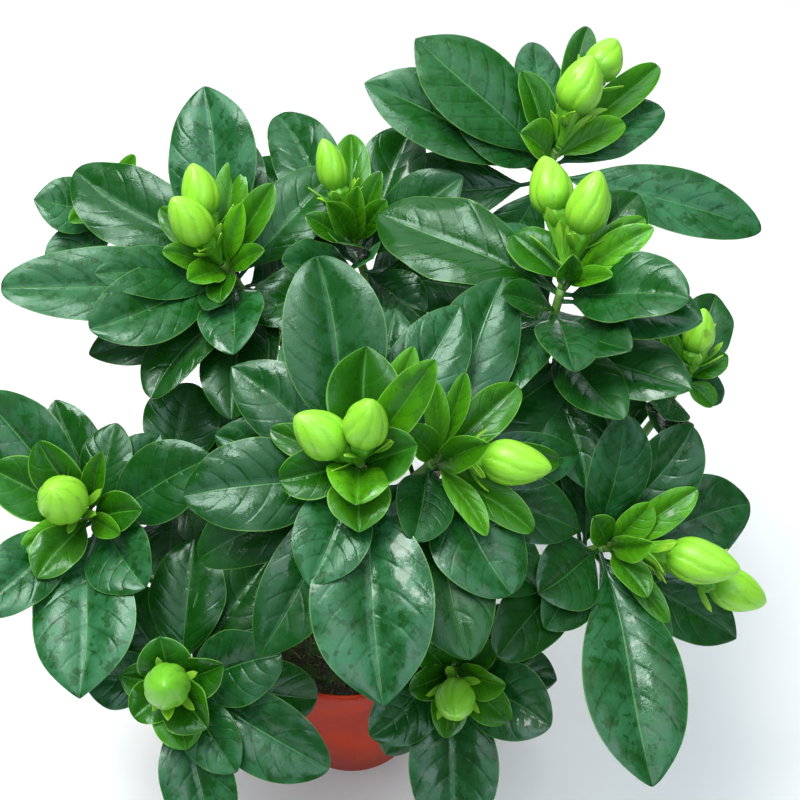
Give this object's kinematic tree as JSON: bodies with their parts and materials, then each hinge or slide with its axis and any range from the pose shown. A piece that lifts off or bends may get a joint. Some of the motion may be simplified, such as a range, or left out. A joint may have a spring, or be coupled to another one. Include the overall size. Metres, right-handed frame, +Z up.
{
  "type": "potted gardenia plant",
  "caption": "Young gardenia bush with glossy quilted leaves and plump twisted green buds, in a small round tapered plastic flower pot filled with soil.",
  "frame": {"origin": "centre of the flat underside of the pot, on the surface that the pot stands on", "axes": "+Z up along the pot's axis, -Y towards the front of the plant as pictured, +X to the viewer's right"},
  "size_m": [0.4792, 0.4426, 0.4446],
  "materials": {
    "pot_plastic": "satin red-brown moulded plastic",
    "soil": "damp dark potting soil with moss and dry grass, matte",
    "bark": "rough grey-brown bark",
    "leaf": "glossy dark green leaf with a pale midrib, sunken veins and wet specks",
    "young_leaf": "soft glossy bright green leaf with lighter edges",
    "bud": "satin lime green, twisted ribs"
  },
  "bodies": {
    "root": {"bud_01": "bud", "bud_02": "bud", "bud_03": "bud", "bud_04": "bud", "bud_05": "bud", "bud_06": "bud", "bud_07": "bud", "bud_08": "bud", "bud_09": "bud", "bud_10": "bud", "bud_11": "bud", "pot": "pot_plastic", "shoot_01": "leaf", "shoot_02": "leaf", "shoot_03": "leaf", "shoot_04": "leaf", "shoot_05": "leaf", "shoot_06": "leaf", "shoot_07": "leaf", "shoot_08": "leaf", "shoot_09": "leaf", "shoot_10": "leaf", "shoot_11": "leaf", "shoot_12": "leaf", "shoot_13": "leaf", "shoot_14": "leaf", "shoot_15": "leaf", "soil": "soil", "stems": "bark", "young_01": "young_leaf", "young_02": "young_leaf", "young_03": "young_leaf", "young_04": "young_leaf", "young_05": "young_leaf", "young_06": "young_leaf", "young_07": "young_leaf", "young_08": "young_leaf", "young_09": "young_leaf", "young_10": "young_leaf", "young_11": "young_leaf", "young_12": "young_leaf", "young_13": "young_leaf", "young_14": "young_leaf", "young_15": "young_leaf"}
  },
  "joints": []
}
